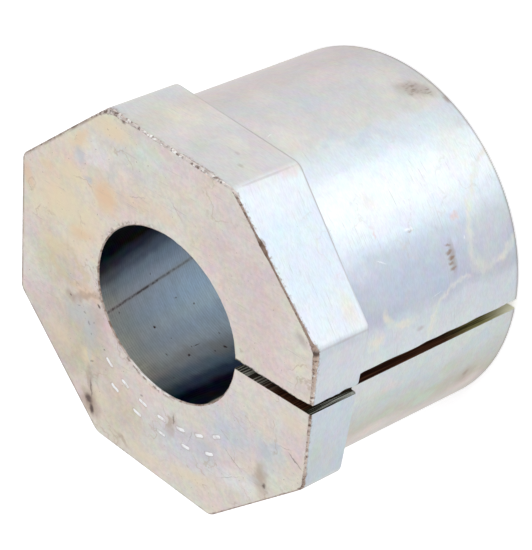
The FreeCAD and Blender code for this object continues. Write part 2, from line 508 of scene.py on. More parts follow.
def coat(shader, colour, height, depth):
    """A colour on a shader, and bump of that depth in millimetres."""
    bump = add("ShaderNodeBump", {"Height": height, "Distance": depth * MM})
    links = shader.id_data.links
    links.new(colour, shader.inputs["Base Color"])
    links.new(bump.outputs["Normal"], shader.inputs["Normal"])


# The sloping face, ground flat and handled most. It is a warm beige with yellow and rusty blots away from
# the slit, blue-grey streaks, dried veins, dark smudges and thin scratches. Its struck dashes carry painted
# highlights.
face_finish, shader, place = new_finish("ground_face", 0.6, 0.42)
rough = swayed(place, 0.8, 1)
loose = swayed(place, 2.8, 0.4)
fine = swayed(place, 0.25, 2.2)
pinkness = ramp(cloud(place, 7, 11, detail=5, twist=0.5), 0.42, 0.6)
colour = mix(pinkness, paint(234, 227, 217), paint(233, 221, 214))
warm_side = ((-13, 7, 7, 9, 0, 0.9), (-7, 18, 4, 3, 0, 0.5), (-6, 10.5, 6, 4, 30, 0.5))
colour = blotted(colour, loose, warm_side, (238, 225, 206))
tan_side = (
    (-12.5, -9, 6.5, 7, 0, 0.95), (-7, -15, 5, 4.5, 0, 0.6), (-14.5, -1, 4, 4.5, 0, 0.6),
    (-14, -6, 3, 2, 0, 0.5),
)
colour = blotted(colour, loose, tan_side, (218, 204, 187))
pale_side = ((10.5, -14, 3, 2, 0, 0.8), (-8.5, 14.2, 3.5, 1.8, 20, 0.8), (-2, 17.5, 3, 1.5, 0, 0.5))
colour = blotted(colour, loose, pale_side, (243, 241, 234))
cool_side = (
    (4, -14, 6, 3.5, 10, 0.6), (14.5, -8.5, 2.6, 2.6, 0, 0.6), (-3, 16.5, 4.5, 2.6, 10, 0.4),
    (9.5, -8.5, 4.5, 3.5, 0, 0.9),
)
colour = blotted(colour, loose, cool_side, (218, 221, 226))
pink_side = (
    (12, 8, 5, 6, -40, 0.8), (7, 12, 4, 2.6, 0, 0.7), (12, 3.5, 4, 2.4, 0, 0.7), (-16, -7, 3, 3, 0, 0.4),
)
colour = blotted(colour, loose, pink_side, (229, 212, 208))
colour = mottled(place, colour, 4, 12, 0.09)
colour = mottled(place, colour, 1, 13, 0.09)
specked = ramp(cloud(place, 0.4, 15), 0.36, 0.64, 0.06, 0.19)
colour = mix(specked, colour, paint(178, 172, 168), "MULTIPLY")
yellow = (
    (-14, 6.8, 2.8, 1.8, 0, 0.7), (-12.2, 10.8, 1.6, 1, 20, 0.6), (-10.6, 6.2, 2, 1.6, 10, 0.6),
    (-6.2, 18.3, 2, 0.9, 0, 0.75), (-11, 15, 1.6, 0.9, 35, 0.6), (-17.4, 5.2, 1, 1.6, 0, 0.4),
    (-15, 1.2, 1.8, 0.8, 0, 0.5), (-12, 2.4, 1.6, 0.8, 0, 0.5), (-10.6, -10.3, 0.9, 0.8, 0, 0.6),
    (4.4, -17, 2.6, 0.7, 15, 0.5), (-9, -14.6, 1.6, 1, 0, 0.4), (-3, -18.2, 2.4, 0.8, -5, 0.4),
    (-14.6, -9.6, 1.6, 1.2, 0, 0.35), (12, -10.6, 1.6, 1.2, 0, 0.3), (17.6, -2.6, 1.6, 0.8, 0, 0.35),
)
colour = blotted(colour, rough, yellow, (240, 224, 190), 1.9)
orange = (
    (-7.4, 10.3, 1.2, 1.4, 20, 0.85), (-18.7, 7.5, 0.6, 1.1, 20, 0.6), (-11.2, 4.2, 1.3, 0.7, 20, 0.65),
    (-10.7, 15.4, 1.2, 0.4, 50, 0.45), (-10.4, -2.4, 1.5, 0.7, 10, 0.6), (-15.8, 10, 0.9, 0.5, 0, 0.4),
    (-6, 17.9, 1, 0.5, 0, 0.12), (-3, 11.6, 2.2, 0.6, 15, 0.25), (0.8, 12, 1.4, 0.8, 0, 0.3),
)
colour = blotted(colour, rough, orange, (237, 203, 168), 2.1)
green = (
    (-1.6, 16.2, 2, 1.2, 0, 0.1), (-9.4, 12.4, 0.8, 0.8, 0, 0.4), (-0.6, 18.4, 2.4, 0.5, 0, 0.4),
    (-17.6, 9.2, 0.6, 0.8, 0, 0.3),
)
colour = blotted(colour, rough, green, (216, 222, 200))
blue = (
    (-10.9, 13.4, 0.6, 0.7, 20, 0.55), (-6.4, 13.6, 0.5, 1.3, -20, 0.3), (-9.6, 11.2, 0.4, 0.4, 0, 0.6),
    (-10.2, -6.6, 0.9, 1.8, 0, 0.55), (-11.6, -5.4, 1.7, 1, 30, 0.5), (-10.3, -10.4, 0.25, 1.5, 0, 0.4),
    (14.4, -8, 0.9, 0.6, -40, 0.5), (6.4, -12.4, 1.4, 1, 0, 0.4), (15.6, -6.6, 0.6, 0.3, 0, 0.5),
    (-9.8, -12.6, 0.6, 1.2, 0, 0.1), (12.8, -12.6, 1, 0.5, 30, 0.35), (-2.6, 14.6, 0.8, 0.8, 0, 0.25),
)
colour = blotted(colour, rough, blue, (190, 198, 206), 1.9)
broken = ramp(cloud(place, 1.8, 5), 0.36, 0.6, 0.2, 1)
ring_mark = tide_line(loose, broken, (-13, -0.2, 2.6, 2, 0), 0.7, 0.5)
colour = stain(colour, ring_mark, (218, 198, 160))
dried = veins(place, 5, 21, 0.013, 0.5)
colour = stain(colour, dried, (190, 168, 146))
haze = (
    (-10.6, -2.8, 2, 0.32, 28, 0.55), (-12.7, -3.9, 0.6, 0.4, 0, 0.55), (1.4, -12.3, 0.4, 1.2, -15, 0.45),
    (13.8, -11.7, 0.6, 1.3, 0, 0.6), (-10.5, -16, 0.9, 1.1, 15, 0.8), (-10.4, -13.6, 0.3, 1.4, 0, 0.5),
    (-5.8, -18.2, 0.8, 0.2, -30, 0.5), (-9, -4.6, 0.8, 1.6, 0, 0.3),
)
colour = blotted(colour, rough, haze, (174, 150, 132), 2.2)
smudge = (
    (-10.7, -15.7, 0.5, 0.6, 15, 0.9), (-10.3, -16.8, 0.3, 0.7, 5, 0.95), (-10.3, -14.2, 0.12, 1.2, 2, 0.6),
    (-8.75, -3.2, 0.16, 0.24, 30, 0.95), (1.75, -11.4, 0.12, 0.6, 0, 0.6),
    (14.2, -12.4, 0.22, 0.34, 0, 0.8), (-12.9, -3.9, 0.16, 0.12, 0, 0.7), (-8.1, -8.2, 0.14, 0.1, 0, 0.7),
    (-4.7, 20, 0.3, 0.25, 0, 0.8), (18.6, 7.4, 0.9, 0.5, -45, 0.3), (-10.3, -6, 0.12, 0.22, 0, 0.5),
    (-10, -7.2, 0.1, 0.14, 0, 0.5), (-11.7, -4.6, 0.24, 0.08, 20, 0.5), (-10.9, -5.1, 0.16, 0.1, 0, 0.45),
    (-9.5, -5.6, 0.1, 0.12, 0, 0.5), (-10, -10.6, 0.3, 0.14, 40, 0.5), (-2.8, -10.9, 0.2, 0.14, 0, 0.5),
)
colour = blotted(colour, fine, smudge, (92, 72, 68), 1.5)
cuts = (
    (10, -11.6, 1.7, 0.06, -35, 0.55), (4.1, -12.2, 1.1, 0.05, 72, 0.35), (9.4, -14.1, 2.2, 0.05, 32, 0.4),
    (18.2, -7, 1.2, 0.12, -32, 0.7), (16.8, -6.2, 0.9, 0.05, 12, 0.4), (8.9, -9.2, 0.9, 0.04, -30, 0.4),
    (-3, 12.4, 1.4, 0.06, 20, 0.35), (2.4, 13.4, 1.2, 0.05, -50, 0.35),
)
colour = blotted(colour, fine, cuts, (128, 112, 104))
specks = ramp(cloud(place, 0.3, 31, detail=2), 0.69, 0.77, 0, 0.6)
colour = stain(colour, specks, (150, 132, 120))
scratches = None
for seed, turn in ((41, 38), (43, -55), (47, 80), (49, 10)):
    line = cloud(place, 0.13, seed, detail=2, stretch=(34, 1), turn=turn)
    patch = ramp(cloud(place, 4, seed + 1), 0.5, 0.66)
    line = times(ramp(line, 0.64, 0.74, 0, 0.45), patch)
    scratches = line if scratches is None else figure("MAXIMUM", scratches, line)
colour = stain(colour, scratches, (176, 164, 158))

# The rim of the face round the bore is brown with dirt, most of all away from the slit
bore_on_face = bore_point + face_normal * (face_normal @ ((0, 0, face_middle) - bore_point))
mouth_middle = tuple(bore_on_face[:2] / MM)
mouth_reach = (bore_radius + MOUTH_RADIUS) / MM
from_mouth = off_oval(fine, *mouth_middle, mouth_reach, mouth_reach, 0)
rim_noise = cloud(place, 0.5, 33, detail=3)
dirty_side = ((-3, -9, 5.5, 3, -20, 1), (-9.5, -2, 2, 5, 0, 0.8), (-5, 8.6, 6, 2, 30, 0.7))
rim_side = blots(rough, dirty_side)
rim_dirt = times(ramp(from_mouth, 1, 1.045, 0.9, 0), ramp(rim_noise, 0.42, 0.62))
colour = stain(colour, times(rim_dirt, rim_side), (134, 108, 94))
# Painted shade of the slit, carried raggedly onto the face along its upper edge
slit_shade_strip = ((11.4, 0.58, 3, 0.28, -1, 1), (15.5, 0.5, 4, 0.2, -1, 1))
colour = blotted(colour, fine, slit_shade_strip, (40, 32, 26), 1.1)
colour = edge_dirt(place, colour, 35)

# A thin brown line follows the edge of the three flats that are furthest from the slit
DIRTY_FLATS = (3, 4, 5)
outward = None
for eighth in DIRTY_FLATS:
    way = FLAT_TURN + eighth * EIGHTH
    off = dot(place, (math.cos(way), math.sin(way), 0))
    outward = off if outward is None else figure("MAXIMUM", outward, off)
outline = ramp(outward, half_flats / MM - 0.42, half_flats / MM - 0.16)
outline = times(outline, ramp(cloud(place, 0.9, 37), 0.36, 0.6, 0.15, 0.65))
colour = stain(colour, outline, (150, 128, 114))

# The struck dashes have a brown rim of painted shade and a white painted highlight on their floor
stamped = add("ShaderNodeAttribute", tree=shader.id_data, attribute_name="stamped").outputs["Fac"]
colour = stain(colour, ramp(stamped, 0.02, 0.3, 0, 0.3), (168, 150, 138))
glint = ramp(cloud(place, 0.7, 36), 0.34, 0.56, 0.35, 1)
colour = stain(colour, times(ramp(stamped, 0.4, 0.75), glint), (255, 255, 255))
grain = cloud(place, 0.14, 51, detail=3)
coat(shader, colour, figure("SUBTRACT", grain, times(scratches, 1.5)), 0.008)

# The flats, the barrel, the shoulder and the free end, turned and milled. The plating is bluish white
# on the side by the slit and pinkish beige further round, with tide marks and brown smudges. Painted
# light lies over it: a painted reflection on the barrel and on the flat facing it, and each flat in view
# painted its own shade by how the light falls on it.
side_finish, shader, place = new_finish("plated_side", 0.75, 0.4)
rough = swayed(place, 0.8, 1)
loose = swayed(place, 2.8, 0.4)
fine = swayed(place, 0.25, 2.2)
# Colours round the barrel and the head, each (degrees, red, green, blue). Besides the plating's tints they
# hold painted light. A painted reflection makes the barrel pale from about 36 to 62 degrees and the flat
# from 18.4 to 63.4 degrees. The head's colours step at the corners of the flats in view, giving each flat
# its own painted shade.
BARREL_TINTS_AND_SHEEN = (
    (0, 206, 212, 214), (11, 200, 206, 212), (16, 183, 188, 200), (24, 186, 193, 206), (32, 197, 206, 216),
    (36, 211, 220, 230), (39, 222, 230, 237), (46, 235, 241, 244), (52, 234, 241, 244), (57, 226, 234, 239),
    (62, 211, 221, 227), (67, 208, 214, 218), (72, 204, 204, 200), (80, 202, 201, 200), (95, 198, 197, 197),
    (102, 198, 189, 187), (130, 198, 189, 186), (165, 214, 208, 200), (215, 206, 211, 216),
    (265, 214, 208, 200), (318, 194, 186, 178), (327, 193, 184, 175), (336, 183, 180, 165),
    (345, 191, 195, 191), (354, 203, 208, 206),
)
HEAD_TINTS_AND_SHADING = (
    (0, 196, 203, 209), (5, 205, 208, 213), (15, 202, 206, 212), (18.2, 192, 198, 206),
    (18.8, 222, 229, 235), (27, 219, 226, 233), (36, 213, 223, 232), (50, 214, 224, 232),
    (60, 220, 226, 232), (63.2, 216, 218, 222), (63.8, 204, 202, 200), (81, 201, 198, 198),
    (90, 208, 204, 199), (99, 203, 198, 189), (108, 203, 203, 203), (109, 214, 208, 200),
    (190, 208, 212, 214), (280, 212, 207, 200), (333, 206, 203, 198), (333.6, 190, 197, 203),
    (357, 195, 202, 208),
)
u, v = apart(place)
wander = ramp(cloud(place, 3, 61, detail=5), 0.25, 0.75, -0.004, 0.004)
on_head = ramp(v, shoulder_height / MM - 0.05, shoulder_height / MM)
barrel_colour_and_sheen = banded(u, barrel_radius, wander, BARREL_TINTS_AND_SHEEN)
colour = mix(on_head, barrel_colour_and_sheen, banded(u, barrel_radius, 0, HEAD_TINTS_AND_SHADING))
lavender = (
    (8.8, 18.4, 2.6, 3, 0, 0.5), (6.8, 13.6, 1.6, 3.2, 0, 0.5), (10.6, 14, 1.6, 4, 0, 0.25),
    (9, 3.4, 2.4, 2.4, 0, 0.3), (28, 13.6, 1.8, 2.4, 0, 0.35),
)
colour = blotted(colour, loose, lavender, (188, 194, 210), 1.5)
blue_grey = (
    (22.4, 13, 1, 2.6, 10, 0.5), (21.8, 9.6, 0.8, 1.6, 0, 0.4), (23.4, 16.8, 0.8, 1.6, 0, 0.35),
    (116.6, 15, 1.6, 5, 0, 0.4), (114.6, 11, 1.2, 2, 0, 0.4), (117.4, 5, 1, 3, 0, 0.35),
)
colour = blotted(colour, loose, blue_grey, (186, 200, 212), 1.5)
cream = (
    (3, 21, 0.8, 1, 10, 0.8), (4.8, 19.2, 0.9, 0.5, 40, 0.7), (3.7, 17.2, 0.4, 1.5, -10, 0.6),
    (25.2, 20.6, 1.6, 1.6, 0, 0.35), (25.6, 6.2, 0.7, 1, 0, 0.4), (18.6, 3.4, 2.6, 2.2, 0, 0.25),
    (23.4, 3, 0.9, 1.8, 0, 0.35), (28.4, 4.4, 2.2, 1.6, 30, 0.3), (8.4, 25.8, 1.4, 0.9, 0, 0.5),
    (32.2, 28, 1.5, 1.4, 0, 0.4), (26, 27, 1.4, 1.2, 0, 0.3), (32.4, 17.6, 1.8, 1.4, 0, 0.2),
    (2.6, 12.8, 1.4, 0.3, -12, 0.4), (8.6, 2.6, 4, 3.6, 0, 0.2),
)
colour = blotted(colour, rough, cream, (224, 218, 202), 1.7)
pink = (
    (31.6, 8.6, 1.4, 2.8, 0, 0.45), (11.6, 7.8, 0.35, 0.5, 0, 0.8), (116.7, 18, 0.6, 2.6, 0, 0.45),
    (110.3, 3.6, 1.6, 2, 0, 0.6), (110.1, 17, 1.2, 3, 0, 0.5), (20.9, 25.4, 0.4, 1.4, 0, 0.6),
    (16, 17.4, 1, 1, 0, 0.3), (29, 22.4, 2, 0.7, 0, 0.35), (12.9, 18.4, 0.5, 0.1, 0, 0.6),
)
colour = blotted(colour, rough, pink, (218, 202, 198), 1.7)
green = (
    (111.6, 10.6, 1.3, 2, -20, 0.9), (113.4, 13.4, 1, 1.6, -20, 0.8), (112.2, 16.4, 0.7, 1.2, 0, 0.5),
    (115.1, 8.6, 1.2, 1.2, 0, 0.5), (115.6, 18.4, 0.8, 1.6, -15, 0.5), (27.4, 30.4, 1, 1.4, 30, 0.35),
    (114.3, 28.6, 1.6, 0.9, 0, 0.35),
)
colour = blotted(colour, rough, green, (184, 198, 178), 1.4)
broken = ramp(cloud(place, 1.8, 5), 0.36, 0.6, 0.6, 1)
tide = tide_line(rough, broken, (11.2, 1.5, 6.7, 3.6, -41), 0.6, 0.62)
tide_two = tide_line(rough, broken, (0.8, 8, 4.8, 5.4, 0), 0.45, 0.5)
tide_two = times(tide_two, ramp(v, 6.2, 8))
colour = stain(colour, figure("MAXIMUM", tide, tide_two), (226, 223, 210))
dried = veins(place, 4, 63, 0.018, 0.3)
colour = stain(colour, dried, (204, 200, 196))
colour = mottled(place, colour, 2.2, 66, 0.06)
colour = mottled(place, colour, 0.8, 67, 0.055)
colour = grained(place, colour, 0.16, 68, 0.16, 55)
brown = (
    (6.95, 9.5, 0.22, 0.45, 10, 0.8), (7.5, 9.65, 0.2, 0.36, -10, 0.8), (8, 9.4, 0.24, 0.48, 0, 0.95),
    (8.65, 9.6, 0.22, 0.45, 10, 0.85), (9.3, 9.6, 0.16, 0.4, -12, 0.7), (8, 9.3, 1.5, 0.4, 0, 0.5),
    (22.8, 0.5, 0.5, 0.3, 0, 0.6), (2.2, 14.6, 0.25, 0.5, 0, 0.35), (23.2, 29.5, 0.3, 0.2, 0, 0.35),
    (24.8, 28.3, 0.3, 0.2, 0, 0.3), (12.05, 13.9, 0.08, 0.4, 0, 0.4), (112.5, 4.85, 0.5, 0.36, 20, 0.75),
    (111.6, 4.5, 0.3, 0.2, 0, 0.4),
)
colour = blotted(colour, fine, brown, (144, 122, 106), 1.6)
rubbed_film = ((25.3, 2.8, 0.9, 1.6, -35, 0.6), (111.9, 4.4, 1.4, 1.1, 20, 0.5))
colour = blotted(colour, rough, rubbed_film, (164, 148, 134), 1.9)
rubbed = blots(rough, ((25.4, 3, 1.1, 0.8, -50, 1), (24.6, 1.8, 0.5, 0.7, 0, 1)))
hatching = cloud(place, 0.22, 69, detail=3, stretch=(1, 4), turn=-35)
hatching = times(rubbed, ramp(hatching, 0.4, 0.66, 0, 0.65))
colour = stain(colour, hatching, (120, 102, 92))
# Small dents, each painted with a white highlight
ding_glints = (
    (12.3, 14.2, 0.14, 0.5, 0, 0.5), (12.2, 13.6, 0.3, 0.12, 0, 0.4), (15.2, 15.4, 0.1, 0.2, 0, 0.5),
    (14.6, 9.4, 0.08, 0.3, 0, 0.4), (10.4, 18.6, 0.06, 0.9, -30, 0.4), (9.4, 7.2, 0.2, 0.1, 0, 0.5),
    (26.4, 22, 0.06, 0.5, 20, 0.4), (5.2, 12.2, 0.06, 0.7, 10, 0.3),
)
colour = blotted(colour, fine, ding_glints, (250, 250, 250))
hairs = cloud(place, 0.12, 77, detail=2, stretch=(22, 1), turn=62)
other_hairs = cloud(place, 0.12, 79, detail=2, stretch=(22, 1), turn=-40)
hairs = ramp(figure("MAXIMUM", hairs, other_hairs), 0.62, 0.74, 0, 0.5)
hairs = times(hairs, ramp(cloud(place, 4, 78), 0.46, 0.6))
colour = stain(colour, hairs, (172, 172, 178))
specks = ramp(cloud(place, 0.32, 71, detail=2), 0.72, 0.79, 0, 0.4)
colour = stain(colour, specks, (150, 146, 148))
corner_lines = (
    (6.1, 27.8, 0.14, 4.2, 0, 0.4), (110.86, 27, 0.12, 4.2, 0, 0.4), (21.08, 28.4, 0.14, 4.6, 0, 0.35),
)
corner_dirt = times(blots(place, corner_lines), broken)
colour = stain(colour, corner_dirt, (156, 142, 140))
colour = edge_dirt(place, colour, 75)
# A grey line of painted shade on the chamfer at the foot of the flats, over the shoulder
low_edge = ramp(gap(v, shoulder_height / MM + 0.12), 0.05, 0.26, 1, 0)
shoulder_shade = times(low_edge, blots(place, ((21, 24.3, 16, 6, 0, 0.7),), 1.2))
colour = stain(colour, shoulder_shade, (148, 140, 140))
rear_rim = ramp(v, 0.24, 0.56, 0.58, 0)
colour = stain(colour, rear_rim, (146, 136, 132))
lathe_lines = times(cloud(place, 0.16, 73, detail=3, stretch=(30, 1)), 0.5)
coat(shader, colour, figure("ADD", lathe_lines, cloud(place, 0.2, 74)), 0.008)

# The bore, drilled and reamed. It is bare blue-grey steel with fine feed rings, one straight mark of
# the tool coming out and rust specks. It also carries painted shade: the walls beside the thick and thin
# sides are painted nearly black, and the wall is painted darker towards the mouth.
bore_finish, shader, place = new_finish("bored_wall", 0, 0.5)
shader.inputs["Specular IOR Level"].default_value = 0.02
rough = swayed(place, 0.8, 1)
fine = swayed(place, 0.12, 2.6)
# Tints round the bore, each (degrees, red, green, blue). They hold painted light and shade: pale where the
# key lamp falls on the far wall and nearly black painted shade either side of it. The walls out of view are
# near white, so that they throw more light into the bore.
BORE_TINTS_AND_SHADE = (
    (0, 244, 249, 254), (112, 244, 249, 254), (122, 5, 2, 4), (153, 4, 2, 6), (164, 16, 14, 26),
    (173, 62, 70, 90), (183, 124, 136, 158), (192, 179, 201, 224), (201, 214, 230, 248),
    (210, 214, 232, 250), (219, 212, 234, 255), (228, 224, 242, 255), (237, 214, 232, 250),
    (246, 224, 238, 248), (255, 193, 204, 213), (265, 137, 157, 175), (275, 70, 90, 116), (286, 6, 13, 38),
    (296, 4, 3, 24), (312, 6, 4, 16), (322, 244, 249, 254),
)
u, v = apart(place)
LIT_MIDDLE = 37
LIT_DEPTH = 5
NARROWING = -0.02
off_lit = times(figure("SUBTRACT", u, LIT_MIDDLE), figure("SUBTRACT", v, LIT_DEPTH))
narrowed = figure("MULTIPLY_ADD", off_lit, NARROWING, u)
wander = ramp(cloud(place, 1.4, 81, detail=5), 0.25, 0.75, -0.003, 0.003)
colour = banded(narrowed, bore_radius, wander, BORE_TINTS_AND_SHADE)
# Painted shade: the wall is painted darker towards the mouth, and darker and warmer still in its first 4.5
# millimetres.
shaded_to_mouth = ramp(v, -2, 13, 1, 0)
colour = mix(shaded_to_mouth, colour, paint(209, 201, 196), "MULTIPLY")
shallow = ramp(v, 0, 4.5, 1, 0)
colour = mix(shallow, colour, paint(240, 232, 212), "MULTIPLY")
colour = mottled(place, colour, 1.6, 85, 0.03)
colour = grained(place, colour, 0.9, 82, 0.16)
colour = grained(place, colour, 0.16, 83, 0.24)
rusty = blots(rough, ((43, 9, 1.3, 1.4, 0, 0.4), (41.4, 5.2, 1, 2, 0, 0.3)))
colour = stain(colour, rusty, (170, 162, 152))
FEED = 0.27
feed_rings = figure("SINE", times(v, FULL_TURN / FEED))
colour = mix(ramp(feed_rings, -1, 1, 0, 0.2), colour, paint(200, 206, 212), "MULTIPLY")
MARK_PLACE = 33.92
MARK_LEAN = 0.06
off_mark = gap(figure("ADD", u, times(v, MARK_LEAN)), MARK_PLACE)
mark_depth = ramp(cloud(place, 0.4, 84, detail=5), 0.36, 0.62, 0.4, 0.9)
colour = stain(colour, ramp(off_mark, 0.1, 0.6, 0.25, 0), (190, 178, 176))
mark = times(ramp(off_mark, 0.02, 0.24, 1, 0), mark_depth)
mark = times(mark, ramp(v, 5, 13, 1, 0.5))
colour = stain(colour, mark, (84, 70, 70))
rust = (
    (37.5, 4.5, 0.15, 0.15, 0, 0.95), (37.4, 10, 0.1, 0.12, 0, 0.8), (43.1, 9.4, 0.28, 0.14, 10, 0.95),
    (41.8, 5.6, 0.18, 0.16, 0, 0.95), (40.5, 3.7, 0.2, 0.1, 0, 0.7), (42.9, 8.2, 0.12, 0.1, 0, 0.8),
    (41.25, 7.2, 0.05, 0.5, -5, 0.8), (41.1, 6.6, 0.14, 0.06, 0, 0.7), (32.5, 6.5, 0.16, 0.08, 0, 0.7),
    (36, 8.4, 0.1, 0.2, 0, 0.5), (39.3, 5.4, 0.08, 0.08, 0, 0.7), (34.5, 1.5, 0.12, 0.1, 0, 0.6),
    (41.4, 10.2, 0.16, 0.08, 0, 0.7), (43.2, 2.2, 0.1, 0.1, 0, 0.6),
)
colour = blotted(colour, fine, rust, (64, 44, 38))
coat(shader, colour, feed_rings, 0.006)

# The walls of the slit, left by the saw. They are dark and oily brown, in part painted shade of the narrow
# slit, with thin lighter streaks along the cut. The pale parts by the bore, out at the flat and low on the
# barrel are painted light, where light falls into the slit.
sawn_finish, shader, place = new_finish("sawn_wall", 0.3, 0.5)
u, v = apart(place)
streaks = cloud(place, 0.2, 91, detail=3, stretch=(1, 60))
fine_streaks = cloud(place, 0.13, 92, detail=2, stretch=(1, 60))
colour = mix(ramp(fine_streaks, 0.42, 0.64), paint(52, 18, 8), paint(112, 70, 44))
# Painted light by the bore and out at the flat, where light falls into the slit
near_bore = ramp(u, 11.5, 15.5, 1, 0)
on_head = ramp(v, 23.6, 24.6)
pale = mix(ramp(streaks, 0.5, 0.6), paint(58, 52, 42), paint(204, 204, 190))
colour = mix(times(near_bore, on_head), colour, pale)
near_flat = ramp(u, 18.6, 19.3)
lighter_out = figure("ADD", fine_streaks, ramp(u, 19, 20, -0.1, 0.03))
lighter_out = figure("ADD", lighter_out, ramp(v, 25.5, 29.5, 0.02, -0.05))
lined = mix(ramp(lighter_out, 0.49, 0.57), paint(40, 38, 14), paint(236, 240, 230))
colour = mix(times(near_flat, on_head), colour, lined)
olive = mix(ramp(fine_streaks, 0.4, 0.62), paint(96, 90, 32), paint(184, 180, 124))
colour = mix(ramp(v, 5, 11, 0.9, 0), colour, olive)
# Painted light low on the barrel, where light falls into the slit
colour = mix(ramp(v, 0.5, 5, 0.9, 0), colour, paint(240, 238, 216))
coat(shader, colour, streaks, 0.03)

# The worn edge round the face. It is a thin brown line of dirt with dark dots along the bright flat,
# broken and brown beside the slit, and pinkish with small painted glints across the top.
worn_finish, shader, place = new_finish("worn_edge", 0.5, 0.42)
EDGE_TINTS = (
    (0, 212, 196, 184), (10, 194, 174, 160), (16, 188, 166, 150), (18.4, 186, 162, 148),
    (22, 158, 138, 124), (34, 160, 140, 128), (46, 136, 112, 98), (52, 150, 130, 118), (60, 168, 148, 136),
    (64, 220, 210, 204), (98, 218, 208, 202), (103, 206, 192, 184), (108.4, 212, 200, 194),
    (113, 200, 186, 176), (120, 186, 170, 158), (330, 184, 166, 154), (334, 170, 150, 138),
    (340, 202, 186, 174), (352, 196, 178, 166),
)
u, v = apart(place)
colour = banded(u, half_flats, 0, EDGE_TINTS)
solid = in_steel(shader.id_data)
dirt = ramp(cloud(solid, 0.45, 95, detail=5), 0.46, 0.6, 0, 0.85)
patchy = ramp(cloud(solid, 1.3, 94, detail=3), 0.38, 0.56, 0.25, 1)
colour = stain(colour, times(dirt, patchy), (104, 80, 66))
# Runs of painted glints, most across the top and fainter beside the slit; fewer dark dots lie in them
glint_runs = ((29.6, 32, 8.4, 20, 0, 1), (2, 30, 4.6, 20, 0, 0.5), (120.7, 30, 4, 20, 0, 0.4))
glinting = blots(place, glint_runs)
dots = ramp(cloud(solid, 0.42, 90), 0.54, 0.66, 0, 0.8)
dots = times(dots, ramp(glinting, 0.3, 1, 1, 0.55))
colour = stain(colour, dots, (88, 66, 54))
dark_spots = (
    (35.3, 31.9, 0.35, 0.6, 0, 1), (36.4, 32.4, 0.9, 0.14, 8, 0.7), (6.3, 31.2, 0.3, 0.6, 0, 0.9),
    (117, 30.4, 0.4, 0.8, 0, 0.8),
)
colour = blotted(colour, place, dark_spots, (78, 60, 52), 1.6)
glints = ramp(cloud(solid, 0.4, 96, detail=3), 0.54, 0.62)
colour = stain(colour, times(glints, glinting), (252, 250, 246))
coat(shader, colour, cloud(solid, 0.2, 97), 0.04)

# The rounded mouth of the bore. It carries a pale painted highlight on the head's thin side, and its dents
# are brown with dirt.
mouth_finish, shader, place = new_finish("bore_mouth", 0.6, 0.4)
rim_highlight = blots(place, ((42.4, 0, 4.6, 20, 0, 1),), 1.1)
dirt = ramp(cloud(in_steel(shader.id_data), 0.6, 98), 0.44, 0.6, 0, 0.9)
dirt = times(dirt, ramp(rim_highlight, 0, 1, 1, 0.4))
colour = mix(rim_highlight, paint(196, 180, 170), paint(246, 242, 238))
colour = stain(colour, dirt, (140, 114, 98))
coat(shader, colour, cloud(place, 0.3, 99), 0.03)

# Wear and stamping. The edges round the face are chipped, the slit's own edges carry a saw burr, and
# two rows of plain dashes are struck in the face on its thin side.
worn = bpy.data.node_groups.new("worn_and_stamped", "GeometryNodeTree")
worn.interface.new_socket("Geometry", in_out="INPUT", socket_type="NodeSocketGeometry")
worn.interface.new_socket("Geometry", in_out="OUTPUT", socket_type="NodeSocketGeometry")
WORN_SIZES = {
    "Chip Depth": 0.2 * MM,
    "Chip Size": 0.7 * MM,
    "Burr": 0.1 * MM,
    "Burr Size": 0.7 * MM,
    "Dash Length": 0.8 * MM,
    "Dash Width": 0.4 * MM,
    "Dash Depth": 0.06 * MM,
    "Dash Row Reach": 12.9 * MM,
    "Seed": 7.0,
}
for name in WORN_SIZES:
    worn.interface.new_socket(name, in_out="INPUT", socket_type="NodeSocketFloat")


def step(kind, feeds=None, **settings):
    """The first output of a new node in the tree of the wear."""
    return add(kind, feeds, worn, **settings).outputs[0]


given = add("NodeGroupInput", tree=worn).outputs
normal = step("GeometryNodeInputNormal")
spot = step("GeometryNodeInputPosition")


def push(geometry, depth):
    """The skin pushed in along its normals by a depth."""
    feeds = {0: normal, "Scale": times(depth, -1.0)}
    inward = step("ShaderNodeVectorMath", feeds, operation="SCALE")
    return step("GeometryNodeSetPosition", {"Geometry": geometry, "Offset": inward})


def marked(name):
    """How strongly the skin is marked with that attribute."""
    return step("GeometryNodeInputNamedAttribute", {"Name": name}, data_type="FLOAT")


def bites(size, low, high):
    """Noise that is nothing in most places and rises to one in ragged spots of about that size."""
    scale = figure("DIVIDE", 1.0, size)
    feeds = {"Vector": spot, "W": given["Seed"], "Scale": scale, "Detail": 3.0}
    noise = step("ShaderNodeTexNoise", feeds, noise_dimensions="4D")
    return ramp(noise, low, high)


chips = times(marked("edge_wear"), bites(given["Chip Size"], 0.45, 0.68))
body = push(given["Geometry"], times(chips, given["Chip Depth"]))
burrs = times(marked("sawn_edge"), bites(given["Burr Size"], 0.4, 0.65))
body = push(body, times(burrs, given["Burr"]))

